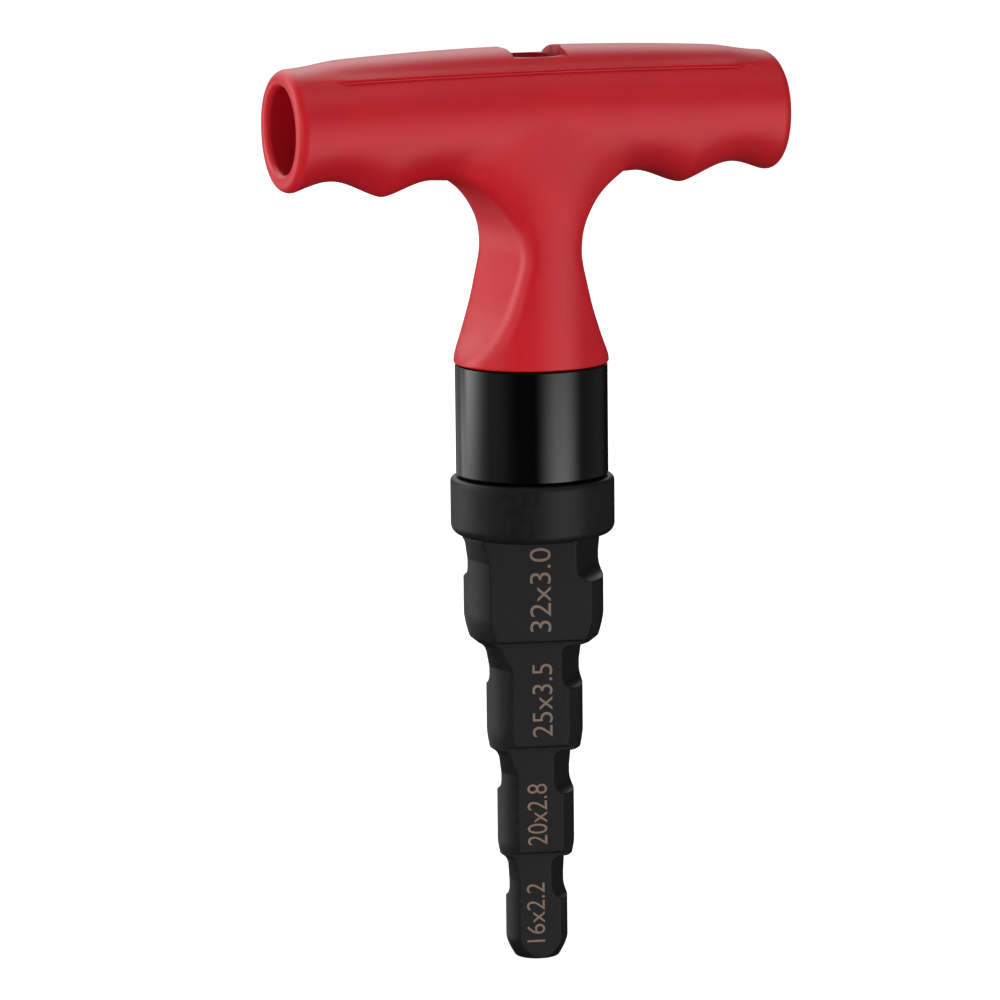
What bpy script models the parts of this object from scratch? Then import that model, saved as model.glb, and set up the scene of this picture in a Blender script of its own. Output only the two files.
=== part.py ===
"""Pipe calibrator: a stepped steel mandrel on a moulded T-handle.

The tool stands on the flat end of its tip at the origin. +Z runs up its axis to the handle, whose
crossbar lies along X. Each of the mandrel's four steps rounds and sizes one pipe, and chamfers the
inside of that pipe's end with the two edges at the top of the step.

Held together from inside: a cap screw, dropped in through the hole in the crown of the handle,
draws a hexagon shank up into a bush in the handle's neck. The shank is pinned in the mandrel, so
the screw clamps the mandrel, the sleeve and the handle end to end.
"""
import math

import bmesh
import bpy
import numpy as np

MM = 0.001

# Clearances
FIT = 0.3 * MM              # between any two pieces that touch, slide on or seat in each other
PIPE_PLAY = 0.05 * MM       # between a land and the bore of its pipe, on the radius
OVERSHOOT = 1.0 * MM        # how far a cut starts and ends clear of what it cuts
DEBURR = 0.4 * MM           # bevel on the small turned and sawn pieces

# Mandrel: one entry per step, from the tip up
PIPES = ((16.0, 2.2), (20.0, 2.8), (25.0, 3.5), (32.0, 3.0))    # pipe's outer size and wall, mm
STEP_FEET = (0.0 * MM, 19.3 * MM, 39.7 * MM, 59.8 * MM)         # height of each step's foot
LEAD_DEPTHS = (1.65 * MM, 0.4 * MM, 0.5 * MM, 0.95 * MM)        # radius lost at a step's foot
LEAD_HEIGHTS = (3.8 * MM, 2.6 * MM, 3.6 * MM, 4.4 * MM)         # height over which it is regained
LEAD_CURVE = 1.5            # 1 is a plain cone, more eases it into the land
LEAD_POINTS = 4
FLATS = (4.31 * MM, 5.81 * MM, 7.28 * MM, 8.9 * MM)             # axis to each of the two flats
FLARES = (0.55 * MM, 1.05 * MM, 1.4 * MM, 1.0 * MM)             # radius gained above a land
SLOT_DEPTHS = (1.85 * MM, 2.2 * MM, 2.1 * MM, 2.95 * MM)      # depth of a slot below its land
FLARE_HEIGHT = 4.2 * MM
SHOULDER_SLOPE = 1.25       # radius gained per height on the bevel under a step
LEDGE_RISE = 1.1 * MM       # how far a flat runs up past the foot of the next step
LEDGE_BEVEL = 0.5 * MM      # on the lower edge of the next step's flat
SLOT_HEIGHT = 8.5 * MM
SLOT_RISE = 0.3 * MM      # how far a slot runs up past the foot of the next step
SLOT_FOOT_RADIUS = 2.7 * MM
SLOT_HEAD_RADIUS = 1.6 * MM
SLOT_ANGLE = math.radians(62.5)       # from the flat's normal to the slot's
MANDREL_CLOCKING = math.radians(-13.5)  # from the handle's front to the flat's normal
FLANGE_FOOT = 80.25 * MM
FLANGE_TOP = 90.9 * MM
FLANGE_RADIUS = 15.15 * MM
FLANGE_FOOT_BEVEL = 1.9 * MM
FLANGE_FOOT_TURN = 75.0     # degrees through which its lower edge is rounded
FLANGE_TOP_BEVEL = 0.9 * MM
SPIGOT_HEIGHT = 15.0 * MM
SPIGOT_WALL = 5.4 * MM      # metal between the shank's hole and the sleeve's bore

# Hexagon shank, pinned in the mandrel
SHANK_FLATS = 9.0 * MM      # across flats
SHANK_END_RADIUS = 4.0 * MM
SHANK_SEAT_DEPTH = 13.0 * MM
SHANK_GRIP = 11.5 * MM      # length inside the bush
DRILL_SPARE = 2.0 * MM      # depth of the shank's hole below the screw's tip
PIN_RADIUS = 1.5 * MM
PIN_WALL = 0.4 * MM
PIN_SLIT = 0.7 * MM
PIN_DROP = 6.5 * MM         # below the top of the spigot

# Spacer sleeve
SLEEVE_LENGTH = 20.5 * MM
SLEEVE_RADIUS = 14.05 * MM
SLEEVE_BEVEL = 0.4 * MM     # on its lower rim
SLEEVE_TOP_BEVEL = 0.15 * MM

# Bush in the handle's neck
BUSH_FLATS = 12.0 * MM      # across flats, outside
BUSH_LENGTH = 13.0 * MM
BUSH_COLLAR_RADIUS = 10.0 * MM
BUSH_COLLAR = 2.0 * MM

# Fixing screw and its washers
SCREW_RADIUS = 2.5 * MM
SCREW_LENGTH = 28.0 * MM
SCREW_HEAD_RADIUS = 4.25 * MM
SCREW_HEAD = 5.0 * MM
SCREW_KEY = 4.0 * MM        # across flats of the key's socket
SCREW_KEY_DEPTH = 2.6 * MM
FLAT_WASHER_RADIUS = 5.0 * MM
FLAT_WASHER = 1.0 * MM
LOCK_WASHER_RADIUS = 4.4 * MM
LOCK_WASHER = 1.4 * MM
LOCK_WASHER_SLIT = 0.8 * MM

# Handle: the crossbar
BAR_HALF_LENGTH = 48.2 * MM
BAR_RISE = 44.5 * MM        # crossbar's axis above the handle's foot
BAR_DEPTH_END = 11.4 * MM   # half depth, front to back
BAR_DEPTH_MIDDLE = 12.0 * MM
BAR_CROWN_END = 10.85 * MM   # axis to crown
BAR_CROWN_MIDDLE = 12.85 * MM
BAR_UNDERSIDE = 12.7 * MM   # axis to the crest between two finger grooves
BAR_UNDERSIDE_TAPER = 0.055  # underside's rise towards the ends
BAR_SQUARENESS = 2.1        # 2 is an ellipse, more is squarer
BAR_LIP = 1.9 * MM
BORE_RADIUS = 7.8 * MM
BORE_LIP = 0.8 * MM
CREST = 29.4 * MM           # crest between the grooves, from the tool's axis
OUTER_GROOVE = 9.6 * MM     # half width
INNER_GROOVE = 9.9 * MM
OUTER_GROOVE_DEPTH = 2.75 * MM
INNER_GROOVE_DEPTH = 3.1 * MM
GROOVE_SHARPNESS = 1.35     # 1 meets the crest at an edge, 2 rolls over it
RIDGE_HEIGHT = 9.4 * MM     # ledge under the crown, above the crossbar's axis
RIDGE_ARCH = 0.8 * MM       # how much lower the ledge is at its ends
RIDGE_STEP = 0.6 * MM
RIDGE_WIDTH = 0.5 * MM
RIDGE_HALF_LENGTH = 45.0 * MM
RIDGE_FADE = 9.0 * MM
CROWN_HOLE_RADIUS = 5.9 * MM

# Handle: the neck's sections, as height above the handle's foot, half width and half depth of the
# column, and half width between the two scooped sides, mm
NECK = ((0.0, 14.3, 14.3, 17.0), (3.6, 14.25, 14.2, 13.0), (8.5, 14.2, 14.05, 9.9),
        (15.0, 14.1, 13.85, 7.5), (21.6, 14.1, 13.6, 6.2), (27.1, 14.5, 13.3, 7.75),
        (31.8, 16.5, 13.0, 11.6), (36.5, 22.0, 12.6, 18.8), (44.5, 30.0, 12.0, 24.4))
NECK_LIP = 0.4 * MM
NECK_EDGE = 2.6 * MM        # how softly its front and back run into its sides
JOIN_RADIUS = 1.4 * MM      # how softly the neck and the crossbar run together
ARM_CORNER = 12.1 * MM      # where the underside of the arm turns into the neck's side
SCREW_SEAT_RISE = 27.0 * MM     # floor under the washers, above the handle's foot

# Numbers of facets
ROUND = 64
SMALL_ROUND = 32
BAR_COLUMNS = 24
LIP_COLUMNS = 4
BODY_COLUMNS = 9
SIDE_ROWS = 9
CROWN_ROWS = 5
NECK_ROWS = 14
WELD = 0.001 * MM           # points of the handle's skin closer than this are one

# Heights that follow
SLEEVE_FOOT = FLANGE_TOP + FIT
HANDLE_FOOT = SLEEVE_FOOT + SLEEVE_LENGTH + FIT
BAR_AXIS = HANDLE_FOOT + BAR_RISE
SCREW_SEAT = HANDLE_FOOT + SCREW_SEAT_RISE
SPIGOT_TOP = FLANGE_TOP + SPIGOT_HEIGHT
SHANK_HOLE_RADIUS = SHANK_END_RADIUS + FIT
SPIGOT_RADIUS = SHANK_HOLE_RADIUS + SPIGOT_WALL
SHANK_FOOT = SPIGOT_TOP - SHANK_SEAT_DEPTH
PIN_HEIGHT = SPIGOT_TOP - PIN_DROP
BUSH_FOOT = HANDLE_FOOT + FIT
BUSH_TOP = BUSH_FOOT + BUSH_LENGTH
WASHER_FOOT = SCREW_SEAT + FIT
LOCK_WASHER_FOOT = WASHER_FOOT + FLAT_WASHER + FIT
SCREW_HEAD_FOOT = LOCK_WASHER_FOOT + LOCK_WASHER + FIT

for old in list(bpy.data.objects):
    bpy.data.objects.remove(old, do_unlink=True)


def material(name, colour, roughness, metallic):
    """A plain finish for one piece."""
    made = bpy.data.materials.new(name)
    made.use_nodes = True
    shader = made.node_tree.nodes["Principled BSDF"]
    shader.inputs["Base Color"].default_value = (*colour, 1.0)
    shader.inputs["Roughness"].default_value = roughness
    shader.inputs["Metallic"].default_value = metallic
    return made


RED_PLASTIC = material("red_glass_filled_nylon", (0.42, 0.012, 0.018), 0.45, 0.0)
GLOSS_BLACK = material("gloss_black_enamel", (0.008, 0.008, 0.009), 0.12, 0.0)
BLACK_OXIDE = material("black_oxide_steel", (0.02, 0.02, 0.021), 0.42, 0.8)
BRIGHT_STEEL = material("bright_steel", (0.45, 0.45, 0.46), 0.3, 1.0)
ZINC = material("zinc_plated_steel", (0.55, 0.56, 0.58), 0.28, 1.0)


def solid(name, points, faces, finish=None, edge_angle=30.0):
    """An object from points and faces wound outwards, smooth but for edges over edge_angle."""
    mesh = bpy.data.meshes.new(name)
    mesh.from_pydata([tuple(map(float, p)) for p in points], [], faces)
    mesh.shade_smooth()
    mesh.set_sharp_from_angle(angle=math.radians(edge_angle))
    made = bpy.data.objects.new(name, mesh)
    bpy.context.collection.objects.link(made)
    if finish:
        mesh.materials.append(finish)
    return made


def closed_solid(name, points, faces, finish=None):
    """The same for a closed mesh, whose faces are first all turned to face outwards."""
    made = solid(name, points, faces, finish)
    shell = bmesh.new()
    shell.from_mesh(made.data)
    bmesh.ops.recalc_face_normals(shell, faces=shell.faces)
    shell.to_mesh(made.data)
    shell.free()
    return made


def turned(name, profile, finish=None, sides=ROUND, sweep=math.tau):
    """A profile of (radius, height) pairs turned about Z. It starts and ends on the axis, or it
    is a ring that keeps clear of the axis. A sweep of less than a turn leaves a slit, at -Y."""
    whole = sweep == math.tau
    stations = sides if whole else sides + 1
    first = math.radians(-90.0) + (0.0 if whole else (math.tau - sweep) / 2.0)
    points, rings = [], []
    for radius, height in profile:
        if radius == 0.0:
            rings.append([len(points)] * stations)
            points.append((0.0, 0.0, height))
            continue
        rings.append(list(range(len(points), len(points) + stations)))
        for k in range(stations):
            turn = first + sweep * k / sides
            points.append((radius * math.cos(turn), radius * math.sin(turn), height))
    faces = []
    above = rings[1:] + (rings[:1] if profile[0][0] > 0.0 else [])
    for lower, upper in zip(rings, above):
        for k in range(sides):
            n = (k + 1) % stations
            faces.append(list(dict.fromkeys((lower[k], lower[n], upper[n], upper[k]))))
    if not whole:
        faces.append([ring[0] for ring in rings])
        faces.append([ring[-1] for ring in rings])
    return closed_solid(name, points, faces, finish)


def extruded(name, outline, start, end, axes=((1, 0, 0), (0, 1, 0), (0, 0, 1)), finish=None):
    """An outline of pairs along the first two axes, carried along the third."""
    across, up, along = (np.array(axis, float) for axis in axes)
    flat = [a * across + b * up for a, b in outline]
    n = len(flat)
    points = [p + start * along for p in flat] + [p + end * along for p in flat]
    faces = [list(range(n)), list(range(n, 2 * n))]
    faces += [[k, (k + 1) % n, n + (k + 1) % n, n + k] for k in range(n)]
    return closed_solid(name, points, faces, finish)


def facing(angle):
    """Axes for a side cut: outwards at this angle from the front, up, and sideways."""
    out, side = (math.sin(angle), -math.cos(angle), 0.0), (math.cos(angle), math.sin(angle), 0.0)
    return out, (0.0, 0.0, 1.0), side


def hexagon(across_flats):
    """The corners of a hexagon, with flats facing +X and -X."""
    corner = across_flats / math.sqrt(3.0)
    turns = [math.radians(30.0 + 60.0 * k) for k in range(6)]
    return [(corner * math.cos(t), corner * math.sin(t)) for t in turns]


def arc(across, up, radius, start, end, count):
    """Points on an arc about (across, up), both ends included, with angles in degrees."""
    turns = [math.radians(start + (end - start) * k / count) for k in range(count + 1)]
    return [(across + radius * math.cos(t), up + radius * math.sin(t)) for t in turns]


def cut(target, cutter, operation="DIFFERENCE"):
    """Take cutter away from target, or with UNION join it on."""
    cutter.hide_render = True
    cutter.display_type = "WIRE"
    boolean = target.modifiers.new(cutter.name, "BOOLEAN")
    boolean.operation = operation
    boolean.solver = "EXACT"
    boolean.object = cutter


# Mandrel
# Turned in one piece from bar: four lands, each with an eased lead-in at its foot and a flare up
# to the next shoulder, then the flange and the spigot that carries the sleeve. Each step is then
# milled with two flats, and with two slots that leave a cutting edge on the flare.
def land_radius(step):
    """A land fills the bore of its pipe but for the play."""
    outer, wall = PIPES[step]
    return (outer / 2.0 - wall) * MM - PIPE_PLAY


def head_of(step):
    """Height of the foot of whatever is above this step: the next step, or the flange."""
    return STEP_FEET[step + 1] if step + 1 < len(PIPES) else FLANGE_FOOT


def mandrel_profile():
    """From the centre of the tip, up the outside, and down into the blind hole for the shank."""
    profile = [(0.0, STEP_FEET[0])]
    for step, foot in enumerate(STEP_FEET):
        land, lead = land_radius(step), LEAD_DEPTHS[step]
        if step:
            below = land_radius(step - 1) + FLARES[step - 1]
            foot += max(land - lead - below, 0.0) / SHOULDER_SLOPE
        for k in range(LEAD_POINTS + 1):
            left = 1.0 - k / LEAD_POINTS
            height = foot + LEAD_HEIGHTS[step] * (1.0 - left)
            profile.append((land - lead * left ** LEAD_CURVE, height))
        profile.append((land, head_of(step) - FLARE_HEIGHT))
        profile.append((land + FLARES[step], head_of(step)))
    low, high = FLANGE_FOOT_BEVEL, FLANGE_TOP_BEVEL
    profile += arc(FLANGE_RADIUS - low, FLANGE_FOOT + low, low,
                   -FLANGE_FOOT_TURN, 0.0, 4)
    profile += [(FLANGE_RADIUS, FLANGE_TOP - high), (FLANGE_RADIUS - high, FLANGE_TOP),
                (SPIGOT_RADIUS, FLANGE_TOP), (SPIGOT_RADIUS, SPIGOT_TOP - DEBURR),
                (SPIGOT_RADIUS - DEBURR, SPIGOT_TOP), (SHANK_HOLE_RADIUS, SPIGOT_TOP),
                (SHANK_HOLE_RADIUS, SHANK_FOOT - FIT), (0.0, SHANK_FOOT - FIT)]
    return profile


def flat_outline(step):
    """What is milled off one side of a step, as (outwards, up) pairs. Its head runs up past the
    next shoulder, and opens outwards there to bevel the edge of the next step's flat."""
    reach = 2.0 * FLANGE_RADIUS
    bottom = STEP_FEET[step] + LEDGE_RISE if step else STEP_FEET[step] - reach
    if step + 1 == len(PIPES):
        return [(FLATS[step], bottom), (reach, bottom), (reach, FLANGE_FOOT),
                (FLATS[step], FLANGE_FOOT)]
    top = head_of(step) + LEDGE_RISE
    lip = FLATS[step + 1] - LEDGE_BEVEL
    return [(FLATS[step], bottom), (reach, bottom), (reach, top + reach - lip), (lip, top),
            (FLATS[step], top)]


def slot_outline(step):
    """A slot's section, as (outwards, up) pairs: a flat floor with a large round at its foot."""
    reach = 2.0 * FLANGE_RADIUS
    floor = land_radius(step) - SLOT_DEPTHS[step]
    top = head_of(step) + SLOT_RISE
    bottom = top - SLOT_HEIGHT
    foot, head = SLOT_FOOT_RADIUS, SLOT_HEAD_RADIUS
    return (arc(floor + foot, bottom + foot, foot, 270.0, 180.0, 8)
            + arc(floor + head, top - head, head, 180.0, 90.0, 5)
            + [(reach, top), (reach, bottom)])


def build_mandrel():
    mandrel = turned("mandrel", mandrel_profile(), BLACK_OXIDE)
    reach = 2.0 * FLANGE_RADIUS
    for step in range(len(PIPES)):
        for half in (0.0, math.pi):
            label = "%d_%s" % (step, "back" if half else "front")
            angle = MANDREL_CLOCKING + half
            cut(mandrel, extruded("flat_" + label, flat_outline(step), -reach, reach,
                                  facing(angle)))
            cut(mandrel, extruded("slot_" + label, slot_outline(step), -reach, reach,
                                  facing(angle + SLOT_ANGLE)))
    cut(mandrel, pin_hole("mandrel_pin_hole"))
    return mandrel


def pin_hole(name):
    """A cutter for the hole that the roll pin crosses, along the flats."""
    outline = arc(0.0, PIN_HEIGHT, PIN_RADIUS + FIT, 0.0, 337.5, 15)
    reach = SPIGOT_RADIUS + OVERSHOOT
    return extruded(name, outline, -reach, reach, facing(MANDREL_CLOCKING))


# Hexagon shank
# Bright hexagon bar. Its lower end is turned round to sit in the mandrel, where the pin crosses
# it, and its upper end is drilled for the fixing screw.
def build_shank():
    top = BUSH_FOOT + SHANK_GRIP
    shank = extruded("hex_shank", hexagon(SHANK_FLATS), SPIGOT_TOP + FIT, top,
                     finish=BRIGHT_STEEL)
    bevel = shank.modifiers.new("deburr", "BEVEL")
    bevel.width = DEBURR
    bevel.segments = 1
    bevel.limit_method = "ANGLE"
    bevel.angle_limit = math.radians(80.0)
    inside = SPIGOT_TOP + FIT + OVERSHOOT
    end = turned("shank_end", [(0.0, SHANK_FOOT), (SHANK_END_RADIUS - DEBURR, SHANK_FOOT),
                               (SHANK_END_RADIUS, SHANK_FOOT + DEBURR),
                               (SHANK_END_RADIUS, inside), (0.0, inside)], sides=SMALL_ROUND)
    cut(shank, end, "UNION")
    drilled = SCREW_HEAD_FOOT - SCREW_LENGTH - DRILL_SPARE
    cut(shank, turned("shank_bore", [(0.0, drilled), (SCREW_RADIUS + FIT, drilled),
                                     (SCREW_RADIUS + FIT, top + OVERSHOOT),
                                     (0.0, top + OVERSHOOT)], sides=SMALL_ROUND))
    cut(shank, pin_hole("shank_pin_hole"))
    return shank


# Roll pin
# A slit tube of spring steel, driven through the spigot and the shank and hidden by the sleeve.
def build_pin():
    half = math.sqrt(SPIGOT_RADIUS ** 2 - PIN_RADIUS ** 2) - FIT
    gap = math.degrees(PIN_SLIT / PIN_RADIUS)
    inner = PIN_RADIUS - PIN_WALL
    outline = arc(0.0, PIN_HEIGHT, PIN_RADIUS, gap / 2.0, 360.0 - gap / 2.0, 16)
    outline += arc(0.0, PIN_HEIGHT, inner, 360.0 - gap / 2.0, gap / 2.0, 16)
    return extruded("roll_pin", outline, -half, half, facing(MANDREL_CLOCKING), BRIGHT_STEEL)


# Spacer sleeve
# A length of tube with bevelled rims, clamped between the flange and the handle's foot.
def build_sleeve():
    bore, top = SPIGOT_RADIUS + FIT, SLEEVE_FOOT + SLEEVE_LENGTH
    return turned("spacer_sleeve", [(SLEEVE_RADIUS - SLEEVE_BEVEL, SLEEVE_FOOT),
                                    (SLEEVE_RADIUS, SLEEVE_FOOT + SLEEVE_BEVEL),
                                    (SLEEVE_RADIUS, top - SLEEVE_TOP_BEVEL),
                                    (SLEEVE_RADIUS - SLEEVE_TOP_BEVEL, top), (bore, top),
                                    (bore, SLEEVE_FOOT)], GLOSS_BLACK)


# Drive bush
# Hexagon tube with a collar, moulded into the neck, that passes the hand's turn to the shank.
def build_bush():
    bush = extruded("drive_bush", hexagon(BUSH_FLATS), BUSH_FOOT, BUSH_TOP, finish=BRIGHT_STEEL)
    head = BUSH_FOOT + BUSH_COLLAR
    cut(bush, turned("bush_collar", [(0.0, BUSH_FOOT), (BUSH_COLLAR_RADIUS, BUSH_FOOT),
                                     (BUSH_COLLAR_RADIUS, head), (0.0, head)],
                     sides=SMALL_ROUND), "UNION")
    cut(bush, extruded("bush_hexagon", hexagon(SHANK_FLATS + 2.0 * FIT), BUSH_FOOT - OVERSHOOT,
                       BUSH_TOP + OVERSHOOT))
    return bush


# Fixing screw, lock washer and flat washer
# They go in through the crown and stand on the floor of the seat, below the crossbar's bore.
def build_screw():
    top, tip = SCREW_HEAD_FOOT + SCREW_HEAD, SCREW_HEAD_FOOT - SCREW_LENGTH
    screw = turned("cap_screw", [(0.0, tip), (SCREW_RADIUS - DEBURR, tip),
                                 (SCREW_RADIUS, tip + DEBURR), (SCREW_RADIUS, SCREW_HEAD_FOOT),
                                 (SCREW_HEAD_RADIUS, SCREW_HEAD_FOOT),
                                 (SCREW_HEAD_RADIUS, top - DEBURR),
                                 (SCREW_HEAD_RADIUS - DEBURR, top), (0.0, top)], ZINC,
                   sides=SMALL_ROUND)
    cut(screw, extruded("screw_key", hexagon(SCREW_KEY), top - SCREW_KEY_DEPTH, top + OVERSHOOT))
    return screw


def build_washers():
    hole = SCREW_RADIUS + FIT
    lock_top = LOCK_WASHER_FOOT + LOCK_WASHER
    slit = LOCK_WASHER_SLIT / LOCK_WASHER_RADIUS
    lock = turned("lock_washer", [(LOCK_WASHER_RADIUS, LOCK_WASHER_FOOT),
                                  (LOCK_WASHER_RADIUS, lock_top), (hole, lock_top),
                                  (hole, LOCK_WASHER_FOOT)], ZINC, SMALL_ROUND, math.tau - slit)
    top = WASHER_FOOT + FLAT_WASHER
    flat = turned("flat_washer", [(FLAT_WASHER_RADIUS, WASHER_FOOT), (FLAT_WASHER_RADIUS, top),
                                  (hole, top), (hole, WASHER_FOOT)], ZINC, SMALL_ROUND)
    return lock, flat


# Handle
# One moulding. Its skin is where two rounded forms run together: the crossbar, whose section
# changes along X, and the neck, whose section changes along Z. Each form is a field that is below
# zero inside it, and grows about as fast as the distance outside it.
def eased(low, high, value):
    """0 below low, 1 above high, and a smooth rise between them."""
    share = np.clip((value - low) / (high - low), 0.0, 1.0)
    return share * share * (3.0 - 2.0 * share)


def along_stations(stations, column, where):
    """A smooth curve through one column of a table of stations, by cubic pieces."""
    place = np.array([row[0] for row in stations]) * MM
    value = np.array([row[column] for row in stations]) * MM
    slope = np.gradient(value, place)
    k = np.clip(np.searchsorted(place, where) - 1, 0, len(place) - 2)
    span = place[k + 1] - place[k]
    t = np.clip((where - place[k]) / span, 0.0, 1.0)
    return ((2 * t ** 3 - 3 * t ** 2 + 1) * value[k] + (t ** 3 - 2 * t ** 2 + t) * span * slope[k]
            + (3 * t ** 2 - 2 * t ** 3) * value[k + 1] + (t ** 3 - t ** 2) * span * slope[k + 1])


def lip_loss(distance, radius):
    """What a rounded rim takes off the size, at this distance from the end face."""
    inward = np.clip(radius - distance, 0.0, radius)
    return radius - np.sqrt(radius ** 2 - inward ** 2)


def underside(x):
    """Crossbar's axis to its underside: two finger grooves on each arm."""
    out = np.abs(x)
    depth = BAR_UNDERSIDE - BAR_UNDERSIDE_TAPER * (out - CREST)
    for centre, half, deep in ((CREST + OUTER_GROOVE, OUTER_GROOVE, OUTER_GROOVE_DEPTH),
                               (CREST - INNER_GROOVE, INNER_GROOVE, INNER_GROOVE_DEPTH)):
        share = np.clip((out - centre) / half, -1.0, 1.0)
        if centre < CREST:
            share = np.maximum(share, 0.0)
        depth = depth - deep * np.cos(share * math.pi / 2.0) ** GROOVE_SHARPNESS
    return depth


def crossbar_field(x, y, z):
    """The crossbar: its crown arches along X, and stands proud of the ledge below it."""
    share = (x / BAR_HALF_LENGTH) ** 2
    depth = BAR_DEPTH_MIDDLE + (BAR_DEPTH_END - BAR_DEPTH_MIDDLE) * share
    crown = BAR_CROWN_MIDDLE + (BAR_CROWN_END - BAR_CROWN_MIDDLE) * share
    loss = lip_loss(BAR_HALF_LENGTH - np.abs(x), BAR_LIP)
    up = z - BAR_AXIS
    height = np.where(up > 0.0, crown, underside(x)) - loss
    across = depth - loss
    reach = (np.abs(y / across) ** BAR_SQUARENESS + np.abs(up / height) ** BAR_SQUARENESS)
    proud = RIDGE_STEP * (1.0 - eased(RIDGE_HALF_LENGTH - RIDGE_FADE, RIDGE_HALF_LENGTH,
                                      np.abs(x)))
    above = eased(-RIDGE_WIDTH / 2.0, RIDGE_WIDTH / 2.0, z - ridge_line(x))
    return (reach ** (1.0 / BAR_SQUARENESS) - 1.0) * across - proud * above


def ridge_line(x):
    """Height of the ledge under the crown."""
    return BAR_AXIS + RIDGE_HEIGHT - RIDGE_ARCH * (x / BAR_HALF_LENGTH) ** 2


def blended(first, second, radius):
    """The lesser of two fields, with a fillet where they are about equal."""
    mix = np.clip(0.5 + 0.5 * (second - first) / radius, 0.0, 1.0)
    return second + (first - second) * mix - radius * mix * (1.0 - mix)


def neck_field(x, y, z):
    """The neck: a round column, wider above, out of which both sides are scooped."""
    up = z - HANDLE_FOOT
    loss = lip_loss(up, NECK_LIP)
    width = along_stations(NECK, 1, up) - loss
    depth = along_stations(NECK, 2, up) - loss
    column = (np.sqrt((x / width) ** 2 + (y / depth) ** 2) - 1.0) * np.minimum(width, depth)
    scoop = np.abs(x) - along_stations(NECK, 3, up)
    return np.maximum(-blended(-column, -scoop, NECK_EDGE), up - BAR_RISE)


def handle_field(x, y, z):
    """Both forms together."""
    return blended(crossbar_field(x, y, z), neck_field(x, y, z), JOIN_RADIUS)


def skin(inside, outside):
    """Share of the way from inside points to outside points at which the skin lies."""
    low = np.zeros(np.broadcast(*inside, *outside).shape)
    high = np.ones_like(low)
    for _ in range(40):
        middle = (low + high) / 2.0
        place = [a + (b - a) * middle for a, b in zip(inside, outside)]
        within = handle_field(*place) < 0.0
        low = np.where(within, middle, low)
        high = np.where(within, high, middle)
    return (low + high) / 2.0


def rows_between(bottom, top, x):
    """Heights of the rows of points up the front: close together where the skin turns over, and
    with one row on each edge of the ledge."""
    ledge = ridge_line(x)
    side = 1.0 - np.cos(np.linspace(0.0, math.pi / 2.0, SIDE_ROWS + 1))
    crown = np.sin(np.linspace(0.0, math.pi / 2.0, CROWN_ROWS + 1))
    low, high = ledge - RIDGE_WIDTH / 2.0, ledge + RIDGE_WIDTH / 2.0
    return np.concatenate([bottom + (low - bottom) * side, high + (top - high) * crown])


def front_patch(columns):
    """Points of one patch of the front skin, from columns of (x, heights)."""
    x = np.array([np.broadcast_to(across, heights.shape) for across, heights in columns])
    z = np.array([heights for _, heights in columns])
    y = -skin((x, 0.0 * x, z), (x, 0.0 * x + 2.0 * BAR_DEPTH_MIDDLE, z)) * 2.0 * BAR_DEPTH_MIDDLE
    return np.stack([x, y, z], axis=-1)


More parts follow.
